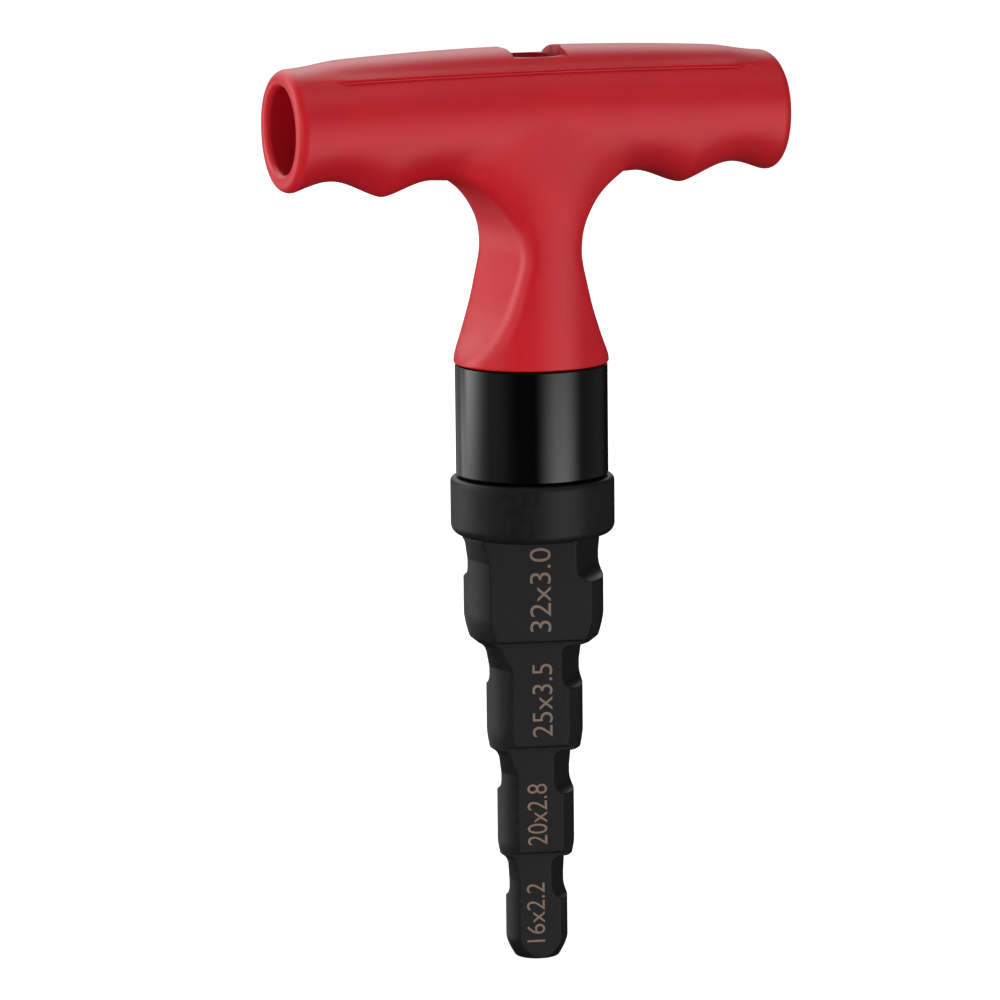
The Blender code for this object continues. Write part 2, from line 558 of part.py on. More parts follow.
def build_handle():
    """A quarter of the skin, front and +X, in three patches of a grid. Mirrored, it closes."""
    reach = 2.0 * BAR_CROWN_MIDDLE
    plain = np.linspace(ARM_CORNER, BAR_HALF_LENGTH - BAR_LIP, BAR_COLUMNS + 1)
    lip = BAR_HALF_LENGTH - BAR_LIP * (1.0 - np.sin(np.linspace(0.0, math.pi / 2.0,
                                                                LIP_COLUMNS + 1)))
    arm_x = np.concatenate([plain, lip[1:]])
    body_x = ARM_CORNER * np.sin(np.linspace(0.0, math.pi / 2.0, BODY_COLUMNS + 1))

    def end_of_column(x, direction):
        start = (x, 0.0 * x, 0.0 * x + BAR_AXIS)
        stop = (x, 0.0 * x, 0.0 * x + BAR_AXIS + direction * reach)
        return BAR_AXIS + direction * reach * skin(start, stop)

    arm = front_patch([(x, rows_between(low, high, x)) for x, low, high in
                       zip(arm_x, end_of_column(arm_x, -1.0), end_of_column(arm_x, 1.0))])
    corner = arm[0, 0, 2]
    body = front_patch([(x, rows_between(corner, high, x)) for x, high in
                        zip(body_x, end_of_column(body_x, 1.0))])
    lip_z = NECK_LIP * (1.0 - np.cos(np.linspace(0.0, math.pi / 2.0, 4)))
    neck_z = np.concatenate([HANDLE_FOOT + lip_z,
                             np.linspace(HANDLE_FOOT + NECK_LIP, corner, NECK_ROWS + 1)[1:]])
    sides = reach * skin((0.0 * neck_z, 0.0 * neck_z, neck_z),
                         (0.0 * neck_z + reach, 0.0 * neck_z, neck_z))
    share = np.sin(np.linspace(0.0, math.pi / 2.0, BODY_COLUMNS + 1))
    neck_x = share[:, None] * sides[None, :]
    neck = front_patch([(row, neck_z) for row in neck_x])
    # Where the front meets the back, the flat side of the neck leaves y open: it is 0 there.
    arm[:, (0, -1), 1] = 0.0
    body[:, -1, 1] = 0.0
    body[-1, 0, 1] = 0.0
    neck[-1, :, 1] = 0.0

    points, known, faces = [], {}, []

    def number(point):
        key = tuple(int(round(value / WELD)) for value in point)
        if key not in known:
            known[key] = len(points)
            points.append(tuple(point))
        return known[key]

    grids = []
    for patch in (arm, body, neck):
        patch[np.abs(patch) < 2.0 * WELD] = 0.0
        grid = [[number(point) for point in column] for column in patch]
        grids.append(grid)
        for left, right in zip(grid, grid[1:]):
            for k in range(len(left) - 1):
                corners = (left[k], right[k], right[k + 1], left[k + 1])
                faces.append(list(dict.fromkeys(corners)))
    end = grids[0][-1]
    faces.append(end[::-1])
    centre = number((0.0, 0.0, HANDLE_FOOT))
    faces.append([centre] + [column[0] for column in grids[2]][::-1])
    handle = solid("t_handle", points, [face for face in faces if len(face) > 2], RED_PLASTIC)
    mirror = handle.modifiers.new("halves", "MIRROR")
    mirror.use_axis = (True, True, False)
    mirror.merge_threshold = 10.0 * WELD
    return handle


def cut_handle(handle):
    """The crossbar's bore with rounded mouths, and all that is sunk along the tool's axis."""
    beyond = BAR_HALF_LENGTH + OVERSHOOT
    mouth = arc(BORE_RADIUS + BORE_LIP, BAR_HALF_LENGTH - BORE_LIP, BORE_LIP, 180.0, 90.0, 4)
    half = [(BORE_RADIUS + 2.0 * BORE_LIP, beyond), (BORE_RADIUS + BORE_LIP, BAR_HALF_LENGTH)]
    half += [point for point in mouth[::-1][1:]]
    outline = [(0.0, beyond)] + half + [(r, -h) for r, h in half[::-1]] + [(0.0, -beyond)]
    bore = turned("crossbar_bore", outline, sides=40)
    bore.rotation_euler = (0.0, math.radians(90.0), 0.0)
    bore.location = (0.0, 0.0, BAR_AXIS)
    cut(handle, bore)
    collar, collar_top = BUSH_COLLAR_RADIUS + FIT, BUSH_FOOT + BUSH_COLLAR + FIT
    screw, washers = SCREW_RADIUS + FIT, FLAT_WASHER_RADIUS + 2.0 * FIT
    below, above = HANDLE_FOOT - OVERSHOOT, BAR_AXIS + BAR_CROWN_MIDDLE + OVERSHOOT
    cut(handle, turned("axis_bores", [
        (0.0, below), (collar, below), (collar, collar_top),
        (screw, collar_top), (screw, SCREW_SEAT), (washers, SCREW_SEAT), (washers, BAR_AXIS),
        (CROWN_HOLE_RADIUS, BAR_AXIS), (CROWN_HOLE_RADIUS, above), (0.0, above)], sides=40))
    cut(handle, extruded("bush_pocket", hexagon(BUSH_FLATS + 2.0 * FIT), collar_top - OVERSHOOT,
                         BUSH_TOP + FIT))


build_mandrel()
build_shank()
build_pin()
build_sleeve()
build_bush()
build_screw()
build_washers()
cut_handle(build_handle())
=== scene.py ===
"""The looks of a pipe calibrator: a stepped black mandrel under a moulded red T-handle.

The pieces follow each other as the tool is put together: mandrel, shank and pin, sleeve, bush,
handle, screw and washers, and last the size figures on the mandrel's flats. Z runs up the tool's
axis and X along the handle's crossbar, in metres, and the tool stands on its tip at the origin.
"""
import math

import bmesh
import bpy
import numpy as np
from mathutils import Matrix, Vector


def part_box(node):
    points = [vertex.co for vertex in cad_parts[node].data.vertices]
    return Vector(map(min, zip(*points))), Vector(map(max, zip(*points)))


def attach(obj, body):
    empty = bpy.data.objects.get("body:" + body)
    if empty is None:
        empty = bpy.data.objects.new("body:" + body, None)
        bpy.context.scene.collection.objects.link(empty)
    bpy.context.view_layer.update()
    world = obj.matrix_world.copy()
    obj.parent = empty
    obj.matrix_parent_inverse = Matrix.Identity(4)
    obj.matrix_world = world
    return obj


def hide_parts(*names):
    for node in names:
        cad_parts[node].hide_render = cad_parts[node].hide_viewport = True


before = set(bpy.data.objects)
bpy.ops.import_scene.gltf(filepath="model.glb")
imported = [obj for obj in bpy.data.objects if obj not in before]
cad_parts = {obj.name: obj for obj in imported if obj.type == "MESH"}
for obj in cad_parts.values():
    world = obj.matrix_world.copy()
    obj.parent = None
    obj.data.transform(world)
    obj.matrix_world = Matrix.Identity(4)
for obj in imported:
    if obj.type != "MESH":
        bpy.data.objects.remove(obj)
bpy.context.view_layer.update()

# Camera
# A long lens 0.9 m from the tool, a little above it and to the left of the handle's front. Sizes
# here and below are in metres, and MM makes a number of millimetres into metres.
MM = 0.001
CAMERA_LENS = 175.51
CAMERA_SENSOR = 36.0
CAMERA_AIM = Vector((-5.57, 2.25, 86.24)) * MM
CAMERA_DISTANCE = 900.0 * MM
CAMERA_AZIMUTH = math.radians(-21.99)
CAMERA_ELEVATION = math.radians(9.58)
CAMERA_ROLL = math.radians(-0.649)
CAMERA_CLIP = (0.05, 50.0)


def linked(name, data):
    """A new object in the scene that holds this data."""
    made = bpy.data.objects.new(name, data)
    bpy.context.scene.collection.objects.link(made)
    return made


def towards(azimuth, elevation):
    """Direction at this azimuth, turned from -Y towards +X, and this elevation above level."""
    return Vector((math.sin(azimuth) * math.cos(elevation), -math.cos(azimuth) * math.cos(elevation),
                   math.sin(elevation)))


def set_camera():
    """The camera looks along its own -Z, so its axes are right, up and back towards it."""
    back = towards(CAMERA_AZIMUTH, CAMERA_ELEVATION)
    level = Vector((math.cos(CAMERA_AZIMUTH), math.sin(CAMERA_AZIMUTH), 0.0))
    above = back.cross(level)
    right = level * math.cos(CAMERA_ROLL) + above * math.sin(CAMERA_ROLL)
    up = above * math.cos(CAMERA_ROLL) - level * math.sin(CAMERA_ROLL)
    data = bpy.data.cameras.new("camera")
    data.lens = CAMERA_LENS
    data.sensor_width = CAMERA_SENSOR
    data.clip_start, data.clip_end = CAMERA_CLIP
    camera = linked("camera", data)
    turn = Matrix((right, up, back)).transposed().to_4x4()
    camera.matrix_world = Matrix.Translation(CAMERA_AIM + back * CAMERA_DISTANCE) @ turn
    bpy.context.scene.camera = camera


set_camera()
bpy.context.scene.view_settings.view_transform = "Standard"

# Studio: floor and white surround
# A pale floor that keeps the tool's shadow runs out of sight into a white surround. What the
# camera and mirrors see is white, and what lights the tool from all round is a plain grey. The
# floor stops no light on its way to the tool, because one of the lamps stands low.
WHITE = (1.0, 1.0, 1.0, 1.0)
FLOOR_HALF = 4.0
FLOOR_COLOUR = (0.55, 0.55, 0.55, 1.0)
FLOOR_GLOW = 0.9
FILL = 0.24


def node_tree(name):
    """A new material and its nodes and links, with nothing in it yet."""
    made = bpy.data.materials.new(name)
    made.use_nodes = True
    made.node_tree.nodes.clear()
    return made, made.node_tree.nodes, made.node_tree.links


def seen_directly(nodes, links):
    """1 for rays from the camera, off a mirror or through glass, and 0 for light that scatters."""
    path = nodes.new("ShaderNodeLightPath")
    first = nodes.new("ShaderNodeMath")
    second = nodes.new("ShaderNodeMath")
    first.operation = second.operation = "MAXIMUM"
    links.new(path.outputs["Is Camera Ray"], first.inputs[0])
    links.new(path.outputs["Is Glossy Ray"], first.inputs[1])
    links.new(first.outputs[0], second.inputs[0])
    links.new(path.outputs["Is Transmission Ray"], second.inputs[1])
    return second.outputs[0]


def set_surround():
    """A grey light from all round, turned over to full white by the share that is seen directly."""
    world = bpy.data.worlds.new("surround")
    world.use_nodes = True
    nodes, links = world.node_tree.nodes, world.node_tree.links
    nodes.clear()
    fill = nodes.new("ShaderNodeBackground")
    fill.inputs["Color"].default_value = WHITE
    fill.inputs["Strength"].default_value = FILL
    white = nodes.new("ShaderNodeBackground")
    white.inputs["Color"].default_value = WHITE
    mix = nodes.new("ShaderNodeMixShader")
    out = nodes.new("ShaderNodeOutputWorld")
    links.new(seen_directly(nodes, links), mix.inputs[0])
    links.new(fill.outputs[0], mix.inputs[1])
    links.new(white.outputs[0], mix.inputs[2])
    links.new(mix.outputs[0], out.inputs["Surface"])
    bpy.context.scene.world = world


def set_floor():
    """A level square of matt grey, to which a glow is added where it is seen directly."""
    finish, nodes, links = node_tree("pale_floor")
    matt = nodes.new("ShaderNodeBsdfDiffuse")
    matt.inputs["Color"].default_value = FLOOR_COLOUR
    glow = nodes.new("ShaderNodeEmission")
    gain = nodes.new("ShaderNodeMath")
    gain.operation = "MULTIPLY"
    gain.inputs[1].default_value = FLOOR_GLOW
    both = nodes.new("ShaderNodeAddShader")
    out = nodes.new("ShaderNodeOutputMaterial")
    links.new(seen_directly(nodes, links), gain.inputs[0])
    links.new(gain.outputs[0], glow.inputs["Strength"])
    links.new(matt.outputs[0], both.inputs[0])
    links.new(glow.outputs[0], both.inputs[1])
    links.new(both.outputs[0], out.inputs["Surface"])
    mesh = bpy.data.meshes.new("floor")
    h = FLOOR_HALF
    mesh.from_pydata([(-h, -h, 0.0), (h, -h, 0.0), (h, h, 0.0), (-h, h, 0.0)], [], [(0, 1, 2, 3)])
    mesh.materials.append(finish)
    floor = linked("floor", mesh)
    floor.visible_glossy = False
    floor.visible_shadow = False


set_surround()
set_floor()

# Studio: screens
# Black cloth hangs all round the tool, with light panels let into it. Only reflections see it: it
# gives gloss its dark and light bands, and the lamps below give the light that matt colour shows.
SCREEN_RADIUS = 3.0
SCREEN_TOP = 89.0
SCREEN_COLUMNS = 144
SCREEN_ROWS = 72
SCREEN_DARK = 0.008
# azimuths at which a panel's glow begins, is full, is full no more and ends, its elevation, its
# half height and its brightness, with angles in degrees
PANELS = ((-18.0, 21.0, 26.0, 60.0, -20.0, 54.0, 2.68),
          (30.0, 60.0, 90.0, 130.0, -8.0, 40.0, 0.13),
          (-146.0, -133.0, -130.0, -88.0, 12.0, 40.0, 3.9),
          (-164.0, -150.0, -146.0, -133.0, -9.0, 13.0, 1.4),
          (-190.0, -178.0, -165.0, -150.0, -12.0, 20.0, 0.38),
          (-70.0, -10.0, 60.0, 120.0, 62.0, 44.0, 0.4),
          (-110.0, -92.0, -80.0, -40.0, 0.0, 50.0, 0.25),
          (128.0, 156.0, 195.0, 240.0, 46.0, 46.0, 2.8))


def grid_faces(rows, columns, closed=False):
    """Four-cornered faces of a grid of points that are numbered row by row. A closed grid has
    faces from its last column back to its first."""
    row, column = np.meshgrid(np.arange(rows - 1), np.arange(columns if closed else columns - 1),
                              indexing="ij")
    beside = (column + 1) % columns
    corners = (row * columns + column, row * columns + beside, (row + 1) * columns + beside,
               (row + 1) * columns + column)
    return np.stack(corners, axis=-1).reshape(-1, 4)


def eased(low, high, value):
    """0 below low and 1 above high, and between them 3 t squared less 2 t cubed, where t is the
    share of the way."""
    share = np.clip((value - low) / (high - low), 0.0, 1.0)
    return share * share * (3.0 - 2.0 * share)


def panel_glow(azimuth, elevation):
    """Brightness of the screens: each panel eases in from one side and out to the other, and
    fades as a raised cosine above and below its middle."""
    glow = np.full(np.broadcast(azimuth, elevation).shape, SCREEN_DARK)
    for begin, full, less, end, high, tall, bright in PANELS:
        along = (azimuth - begin) % 360.0
        across = eased(0.0, full - begin, along) * eased(0.0, end - less, end - begin - along)
        upright = 0.5 + 0.5 * np.cos(np.pi * np.clip(np.abs(elevation - high) / tall, 0.0, 1.0))
        glow = glow + bright * across * upright
    return glow


def set_screens():
    """A sphere, as a grid of azimuth and elevation, whose every point holds its own brightness."""
    azimuth, elevation = np.meshgrid(np.linspace(-180.0, 180.0, SCREEN_COLUMNS + 1)[:-1],
                                     np.linspace(-SCREEN_TOP, SCREEN_TOP, SCREEN_ROWS + 1))
    a, e = np.radians(azimuth), np.radians(elevation)
    points = SCREEN_RADIUS * np.stack([np.sin(a) * np.cos(e), -np.cos(a) * np.cos(e), np.sin(e)],
                                      axis=-1)
    mesh = bpy.data.meshes.new("screens")
    faces = grid_faces(*azimuth.shape, closed=True)[:, ::-1]
    mesh.from_pydata(points.reshape(-1, 3).tolist(), [], faces.tolist())
    shade = mesh.attributes.new("glow", "FLOAT", "POINT")
    shade.data.foreach_set("value", panel_glow(azimuth, elevation).ravel().astype(np.float32))
    finish, nodes, links = node_tree("cloth_and_panels")
    glow = nodes.new("ShaderNodeAttribute")
    glow.attribute_name = "glow"
    light = nodes.new("ShaderNodeEmission")
    out = nodes.new("ShaderNodeOutputMaterial")
    links.new(glow.outputs["Fac"], light.inputs["Strength"])
    links.new(light.outputs[0], out.inputs["Surface"])
    mesh.materials.append(finish)
    screens = linked("screens", mesh)
    screens.visible_camera = False
    screens.visible_diffuse = False
    screens.visible_transmission = False
    screens.visible_shadow = False
    screens.visible_volume_scatter = False


set_screens()

# Studio: lamps
# Four large soft lamps light the tool's own colours, and leave the gloss to the screens.
# azimuth and elevation in degrees, distance and size in metres, power in watts
LAMPS = (("lamp_left", -78.0, 0.0, 1.6, 1.2, 26.0),
         ("lamp_right", 36.0, -10.0, 1.6, 1.0, 14.5),
         ("lamp_above", 15.0, 66.0, 1.6, 1.2, 9.5),
         ("lamp_back", 190.0, 12.0, 1.6, 1.2, 13.0))


def set_lamps():
    """Round lamps, each turned so that it faces what the camera aims at."""
    for name, azimuth, elevation, distance, size, power in LAMPS:
        data = bpy.data.lights.new(name, "AREA")
        data.shape = "DISK"
        data.size = size
        data.energy = power
        lamp = linked(name, data)
        away = towards(math.radians(azimuth), math.radians(elevation))
        lamp.location = CAMERA_AIM + away * distance
        lamp.rotation_euler = away.to_track_quat("Z", "Y").to_euler()
        lamp.visible_glossy = False


set_lamps()

# Mandrel
# One bar of steel, turned to four steps, a flange and a spigot, milled with two flats and two
# slots a step, and blackened hot in a salt bath. The sleeve slides over its spigot. Where a
# size has four values, they are for the steps from the tip up.
PIPE_PLAY = 0.05 * MM
# outer size and wall of the pipe that each step fits, mm
PIPES = ((16.0, 2.2), (20.0, 2.8), (25.0, 3.5), (32.0, 3.0))
STEP_FEET = (0.0 * MM, 19.3 * MM, 39.7 * MM, 59.8 * MM)
LEAD_DEPTHS = (1.65 * MM, 0.4 * MM, 0.5 * MM, 0.95 * MM)
LEAD_HEIGHTS = (3.8 * MM, 2.6 * MM, 3.6 * MM, 4.4 * MM)
LEAD_CURVE = 1.5
LEAD_ROWS = 12
FLATS = (4.31 * MM, 5.81 * MM, 7.28 * MM, 8.9 * MM)
FLARES = (0.55 * MM, 1.05 * MM, 1.4 * MM, 1.0 * MM)
SLOT_DEPTHS = (1.85 * MM, 2.2 * MM, 2.1 * MM, 2.95 * MM)
FLARE_HEIGHT = 4.2 * MM
SHOULDER_SLOPE = 1.25
LEDGE_RISE = 1.1 * MM
LEDGE_BEVEL = 0.5 * MM
SLOT_HEIGHT = 8.5 * MM
SLOT_RISE = 0.3 * MM
SLOT_FOOT_RADIUS = 2.7 * MM
SLOT_HEAD_RADIUS = 1.6 * MM
SLOT_ANGLE = math.radians(62.5)
MANDREL_CLOCKING = math.radians(-13.5)
FLANGE_FOOT = 80.25 * MM
FLANGE_TOP = 90.9 * MM
FLANGE_RADIUS = 15.15 * MM
FLANGE_FOOT_BEVEL = 1.9 * MM
FLANGE_FOOT_TURN = 75.0
FLANGE_TOP_BEVEL = 0.9 * MM
TURNED_EDGE = 0.18 * MM
SPIGOT_TOP = FLANGE_TOP + 15.0 * MM
SPIGOT_RADIUS = 9.7 * MM
SPIGOT_BEVEL = 0.4 * MM
SHANK_HOLE_RADIUS = 4.3 * MM
SHANK_HOLE_FOOT = SPIGOT_TOP - 13.3 * MM
PIN_HEIGHT = SPIGOT_TOP - 6.5 * MM
PIN_HOLE_RADIUS = 1.8 * MM
PIN_HOLE_SIDES = 60
TURNED_SIDES = 256
CUT_REACH = 2.0 * FLANGE_RADIUS
WELD = 0.0005 * MM
SHARP_ANGLE = math.radians(32.0)
# the black's darker and lighter tone, its roughness, and how far the barrel rounds the edges
OXIDE_TONES = ((0.006, 0.006, 0.0063), (0.0085, 0.0085, 0.0085))
OXIDE_ROUGHNESS = (0.38, 0.48)
BARRELLED_EDGE = 0.45 * MM
EDGE_SAMPLES = 6


def outward_mesh(name, points, faces, weld=0.0):
    """A mesh whose faces all point outwards. Where a distance to weld is given, points nearer
    than that are made one, and holes are filled."""
    mesh = bpy.data.meshes.new(name)
    mesh.from_pydata(points, [], faces)
    shell = bmesh.new()
    shell.from_mesh(mesh)
    if weld:
        bmesh.ops.remove_doubles(shell, verts=shell.verts, dist=weld)
        bmesh.ops.holes_fill(shell, edges=[e for e in shell.edges if e.is_boundary], sides=0)
    bmesh.ops.recalc_face_normals(shell, faces=shell.faces)
    shell.to_mesh(mesh)
    shell.free()
    return mesh


def shade(mesh):
    """Smooth shading that stops at sharp edges."""
    mesh.shade_smooth()
    mesh.set_sharp_from_angle(angle=SHARP_ANGLE)


def object_of(name, points, faces, finish=None):
    """A closed object from arrays of points and faces, with smooth shading."""
    mesh = outward_mesh(name, points.reshape(-1, 3).tolist(), faces.tolist(), WELD)
    shade(mesh)
    if finish:
        mesh.materials.append(finish)
    return linked(name, mesh)


def turned(name, profile, finish=None, sides=TURNED_SIDES):
    """A profile of (radius, height) pairs carried round Z: x = radius cos t, y = radius sin t.
    One that starts off the axis is the section of a ring, and is carried back to its start."""
    radius, height = np.array(profile).T[:, :, None]
    turn = np.arange(sides) * (math.tau / sides)
    points = np.stack([radius * np.cos(turn), radius * np.sin(turn), height + 0.0 * turn], axis=-1)
    if profile[0][0] > 0.0:
        points = np.concatenate([points, points[:1]])
    return object_of(name, points, grid_faces(len(points), sides, closed=True), finish)


def arc(across, up, radius, start, end, count):
    """Points on an arc about (across, up), both ends included, with angles in degrees."""
    turn = np.radians(np.linspace(start, end, count + 1))
    return list(zip(across + radius * np.cos(turn), up + radius * np.sin(turn)))


def rounded(profile, radius, count=5):
    """A profile with each corner between its ends rounded by a quadratic curve. The curve's two
    arms are as long as the radius, or 0.45 of the shorter side next to the corner."""
    p = np.array(profile)
    corner, before, after = p[1:-1], p[:-2] - p[1:-1], p[2:] - p[1:-1]
    short = np.minimum(np.linalg.norm(before, axis=1), np.linalg.norm(after, axis=1))
    arm = np.minimum(radius, 0.45 * short)[:, None]
    start = corner + before / np.linalg.norm(before, axis=1)[:, None] * arm
    stop = corner + after / np.linalg.norm(after, axis=1)[:, None] * arm
    t = np.linspace(0.0, 1.0, count)[None, :, None]
    curve = ((1 - t) ** 2 * start[:, None] + 2 * t * (1 - t) * corner[:, None]
             + t ** 2 * stop[:, None])
    return np.concatenate([p[:1], curve.reshape(-1, 2), p[-1:]])


def land_radius(step):
    """A land fills the bore of its pipe but for the play."""
    outer, wall = PIPES[step]
    return (outer / 2.0 - wall) * MM - PIPE_PLAY


def head_of(step):
    """Height of the foot of what is above this step."""
    return STEP_FEET[step + 1] if step + 1 < len(PIPES) else FLANGE_FOOT


def mandrel_profile():
    """From the centre of the tip, up the outside, and down into the blind hole for the shank. A
    lead-in is less than its land by its depth times a power of the share of its height that is
    left. Above the land the step flares straight out to the next shoulder."""
    profile = [(0.0, STEP_FEET[0])]
    for step, foot in enumerate(STEP_FEET):
        land, lead = land_radius(step), LEAD_DEPTHS[step]
        if step:
            below = land_radius(step - 1) + FLARES[step - 1]
            foot += max(land - lead - below, 0.0) / SHOULDER_SLOPE
        left = np.linspace(1.0, 0.0, LEAD_ROWS + 1)
        profile += list(zip(land - lead * left ** LEAD_CURVE,
                            foot + LEAD_HEIGHTS[step] * (1.0 - left)))
        profile += [(land, head_of(step) - FLARE_HEIGHT), (land + FLARES[step], head_of(step))]
    low, high = FLANGE_FOOT_BEVEL, FLANGE_TOP_BEVEL
    profile += arc(FLANGE_RADIUS - low, FLANGE_FOOT + low, low, -FLANGE_FOOT_TURN, 0.0, 12)
    profile += arc(FLANGE_RADIUS - high, FLANGE_TOP - high, high, 0.0, 90.0, 8)
    profile += [(SPIGOT_RADIUS, FLANGE_TOP), (SPIGOT_RADIUS, SPIGOT_TOP - SPIGOT_BEVEL),
                (SPIGOT_RADIUS - SPIGOT_BEVEL, SPIGOT_TOP), (SHANK_HOLE_RADIUS, SPIGOT_TOP),
                (SHANK_HOLE_RADIUS, SHANK_HOLE_FOOT), (0.0, SHANK_HOLE_FOOT)]
    return rounded(profile, TURNED_EDGE)


def flat_outline(step):
    """What is milled off one side of a step, as (outwards, up) pairs. Its head runs up past the
    next shoulder, and opens outwards there to bevel the edge of the next step's flat."""
    flat = FLATS[step]
    bottom = STEP_FEET[step] + LEDGE_RISE if step else STEP_FEET[step] - CUT_REACH
    if step + 1 == len(PIPES):
        return [(flat, bottom), (CUT_REACH, bottom), (CUT_REACH, FLANGE_FOOT), (flat, FLANGE_FOOT)]
    top = head_of(step) + LEDGE_RISE
    lip = FLATS[step + 1] - LEDGE_BEVEL
    return [(flat, bottom), (CUT_REACH, bottom), (CUT_REACH, top + CUT_REACH - lip), (lip, top),
            (flat, top)]


def slot_outline(step):
    """A slot's section, as (outwards, up) pairs: a flat floor with a large round at its foot and
    a smaller one at its head."""
    floor = land_radius(step) - SLOT_DEPTHS[step]
    top = head_of(step) + SLOT_RISE
    bottom = top - SLOT_HEIGHT
    foot, head = SLOT_FOOT_RADIUS, SLOT_HEAD_RADIUS
    return (arc(floor + foot, bottom + foot, foot, 270.0, 180.0, 24)
            + arc(floor + head, top - head, head, 180.0, 90.0, 14)
            + [(CUT_REACH, top), (CUT_REACH, bottom)])


def side_cutters(name, cuts):
    """One object for several side cuts. Each cut is an outline of (outwards, up) pairs and the
    angle that it faces, and is carried sideways across the whole bar."""
    points, faces = [], []
    for outline, angle in cuts:
        out = np.array((math.sin(angle), -math.cos(angle), 0.0))
        side = np.array((math.cos(angle), math.sin(angle), 0.0))
        pairs = np.array(outline)
        flat = pairs[:, :1] * out + pairs[:, 1:] * np.array((0.0, 0.0, 1.0))
        first, count = len(points), len(flat)
        points += (flat - CUT_REACH * side).tolist() + (flat + CUT_REACH * side).tolist()
        near, far = first + np.arange(count), first + count + np.arange(count)
        faces += [near.tolist(), far.tolist()]
        faces += np.stack([near, np.roll(near, -1), np.roll(far, -1), far], axis=-1).tolist()
    return linked(name, outward_mesh(name, points, faces))


def cut_away(target, cutters):
    """Take each cutter away from the target, one after another, and keep the outcome as its
    mesh. The cutters are removed."""
    for cutter in cutters:
        boolean = target.modifiers.new(cutter.name, "BOOLEAN")
        boolean.operation = "DIFFERENCE"
        boolean.solver = "EXACT"
        boolean.object = cutter
    seen = target.evaluated_get(bpy.context.evaluated_depsgraph_get())
    carved = bpy.data.meshes.new_from_object(seen)
    target.modifiers.clear()
    plain, target.data = target.data, carved
    carved.name = plain.name
    bpy.data.meshes.remove(plain)
    for cutter in cutters:
        bpy.data.objects.remove(cutter, do_unlink=True)
    shade(carved)


def stretched(nodes, links, coordinates, scale):
    """Coordinates times a scale for each axis: a pattern on them is drawn out where it is small."""
    made = nodes.new("ShaderNodeMapping")
    made.inputs["Scale"].default_value = scale
    links.new(coordinates, made.inputs["Vector"])
    return made.outputs["Vector"]


def noise(nodes, links, coordinates, scale, detail, roughness=0.5):
    """Cloudy pattern with features about 1 / scale metres wide."""
    made = nodes.new("ShaderNodeTexNoise")
    made.inputs["Scale"].default_value = scale
    made.inputs["Detail"].default_value = detail
    made.inputs["Roughness"].default_value = roughness
    links.new(coordinates, made.inputs["Vector"])
    return made.outputs["Fac"]


def ranged(nodes, links, value, low, high, to_low, to_high):
    """A value carried from one range to another, and held at its ends."""
    made = nodes.new("ShaderNodeMapRange")
    for socket, number in zip(("From Min", "From Max", "To Min", "To Max"),
                              (low, high, to_low, to_high)):
        made.inputs[socket].default_value = number
    links.new(value, made.inputs["Value"])
    return made.outputs["Result"]


def bumped(nodes, links, height, strength, distance, normal=None):
    """Surface normal tilted by a height pattern."""
    made = nodes.new("ShaderNodeBump")
    made.inputs["Strength"].default_value = strength
    made.inputs["Distance"].default_value = distance
    links.new(height, made.inputs["Height"])
    if normal:
        links.new(normal, made.inputs["Normal"])
    return made.outputs["Normal"]


def eased_edges(nodes, radius):
    """Normal of the surface as if its sharp edges were rounded to this radius."""
    made = nodes.new("ShaderNodeBevel")
    made.samples = EDGE_SAMPLES
    made.inputs["Radius"].default_value = radius
    return made.outputs["Normal"]


def principled(nodes, links, roughness, metallic=0.0):
    """The inputs of a Principled shader that is joined to the output. Its roughness is the plain
    one, which shows where no pattern is joined to it or can be read."""
    shader = nodes.new("ShaderNodeBsdfPrincipled")
    shader.inputs["Roughness"].default_value = roughness
    shader.inputs["Metallic"].default_value = metallic
    out = nodes.new("ShaderNodeOutputMaterial")
    links.new(shader.outputs[0], out.inputs["Surface"])
    return shader.inputs


def two_tones(nodes, links, share, first, second):
    """A colour this share of the way from the first to the second."""
    made = nodes.new("ShaderNodeMix")
    made.data_type = "RGBA"
    made.inputs["A"].default_value = (*first, 1.0)
    made.inputs["B"].default_value = (*second, 1.0)
    links.new(share, made.inputs["Factor"])
    return made.outputs["Result"]


def blackened_steel():
    """Black oxide under oil: a faint cloudy mottle, the marks of the tool running round the bar,
    and edges that the barrel has eased."""
    made, nodes, links = node_tree("blackened_steel")
    place = nodes.new("ShaderNodeTexCoord").outputs["Object"]
    shader = principled(nodes, links, 0.36)
    shader["IOR"].default_value = 1.3
    cloud = noise(nodes, links, place, scale=700.0, detail=4.0, roughness=0.6)
    tone = ranged(nodes, links, cloud, 0.35, 0.65, 0.0, 1.0)
    links.new(two_tones(nodes, links, tone, *OXIDE_TONES), shader["Base Color"])
    links.new(ranged(nodes, links, cloud, 0.3, 0.7, *OXIDE_ROUGHNESS), shader["Roughness"])
    round_the_bar = stretched(nodes, links, place, (0.06, 0.06, 1.0))
    rings = noise(nodes, links, round_the_bar, scale=9000.0, detail=2.0)
    marks = bumped(nodes, links, rings, 0.08, 0.02 * MM, eased_edges(nodes, BARRELLED_EDGE))
    links.new(bumped(nodes, links, cloud, 0.1, 0.03 * MM, marks), shader["Normal"])
    return made


